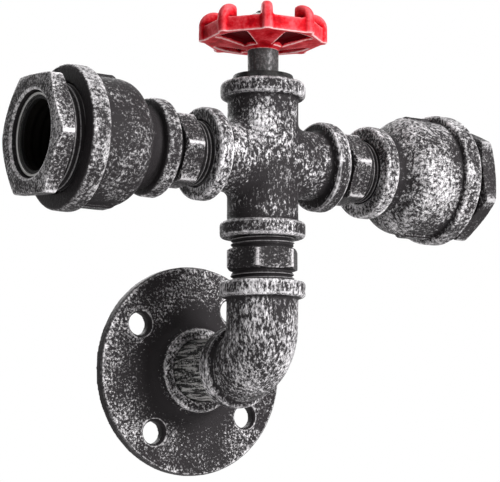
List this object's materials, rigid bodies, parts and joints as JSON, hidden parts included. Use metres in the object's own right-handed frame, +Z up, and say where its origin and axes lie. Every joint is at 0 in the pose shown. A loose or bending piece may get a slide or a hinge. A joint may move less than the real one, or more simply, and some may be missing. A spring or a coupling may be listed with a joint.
{
  "type": "industrial pipe wall light",
  "caption": "Wall light of threaded iron pipe fittings: round wall flange, elbow, cross, flared lamp sockets facing left and right, and a turning red valve handwheel.",
  "frame": {"origin": "centre of the wall flange's back face, on the wall", "axes": "+Y into the wall (the light stands out along -Y), +X to the right arm as seen from the room, +Z up"},
  "size_m": [0.2112, 0.0856, 0.1899],
  "materials": {
    "speckled_casting": "near-black gunmetal with rubbed silver highlights",
    "dark_pipe": "dark oiled steel, brushed",
    "raw_steel": "dull grey steel",
    "spring_steel": "zinc plated",
    "red_paint": "red enamel",
    "zinc_sleeve": "dark plated sheet",
    "black_phenolic": "moulded",
    "contact_brass": "drawn",
    "brown_insulation": "satin",
    "blue_insulation": "satin",
    "clear_white_nylon": "satin"
  },
  "bodies": {
    "fixture": {"wall_flange": "speckled_casting", "wall_nipple": "dark_pipe", "elbow": "speckled_casting", "lower_hex_nipple": "dark_pipe", "pipe_cross": "speckled_casting", "bonnet_plug": "speckled_casting", "supply_live_lead": "brown_insulation", "supply_neutral_lead": "blue_insulation", "live_crimp_cap": "clear_white_nylon", "neutral_crimp_cap": "clear_white_nylon", "left_hex_nipple": "dark_pipe", "left_bell_reducer": "speckled_casting", "left_hex_bushing": "speckled_casting", "left_socket_sleeve": "zinc_sleeve", "left_socket_insulator": "black_phenolic", "left_screw_shell": "contact_brass", "left_centre_contact": "contact_brass", "left_shell_contact": "contact_brass", "left_lamp_stud": "spring_steel", "left_stud_plate": "spring_steel", "left_stud_nut": "spring_steel", "left_live_lead": "brown_insulation", "left_neutral_lead": "blue_insulation", "right_hex_nipple": "dark_pipe", "right_bell_reducer": "speckled_casting", "right_hex_bushing": "speckled_casting", "right_socket_sleeve": "zinc_sleeve", "right_socket_insulator": "black_phenolic", "right_screw_shell": "contact_brass", "right_centre_contact": "contact_brass", "right_shell_contact": "contact_brass", "right_lamp_stud": "spring_steel", "right_stud_plate": "spring_steel", "right_stud_nut": "spring_steel", "right_live_lead": "brown_insulation", "right_neutral_lead": "blue_insulation"},
    "valve_wheel": {"valve_stem": "raw_steel", "stem_clip": "spring_steel", "thrust_washer": "spring_steel", "handwheel": "red_paint", "wheel_washer": "spring_steel", "wheel_nut": "spring_steel"}
  },
  "joints": [
    {"name": "wheel_turn", "type": "hinge", "parent": "fixture", "child": "valve_wheel", "pos_m": [0, -0.0575, 0.1287], "axis": [0, 0, 1], "continuous": true}
  ]
}
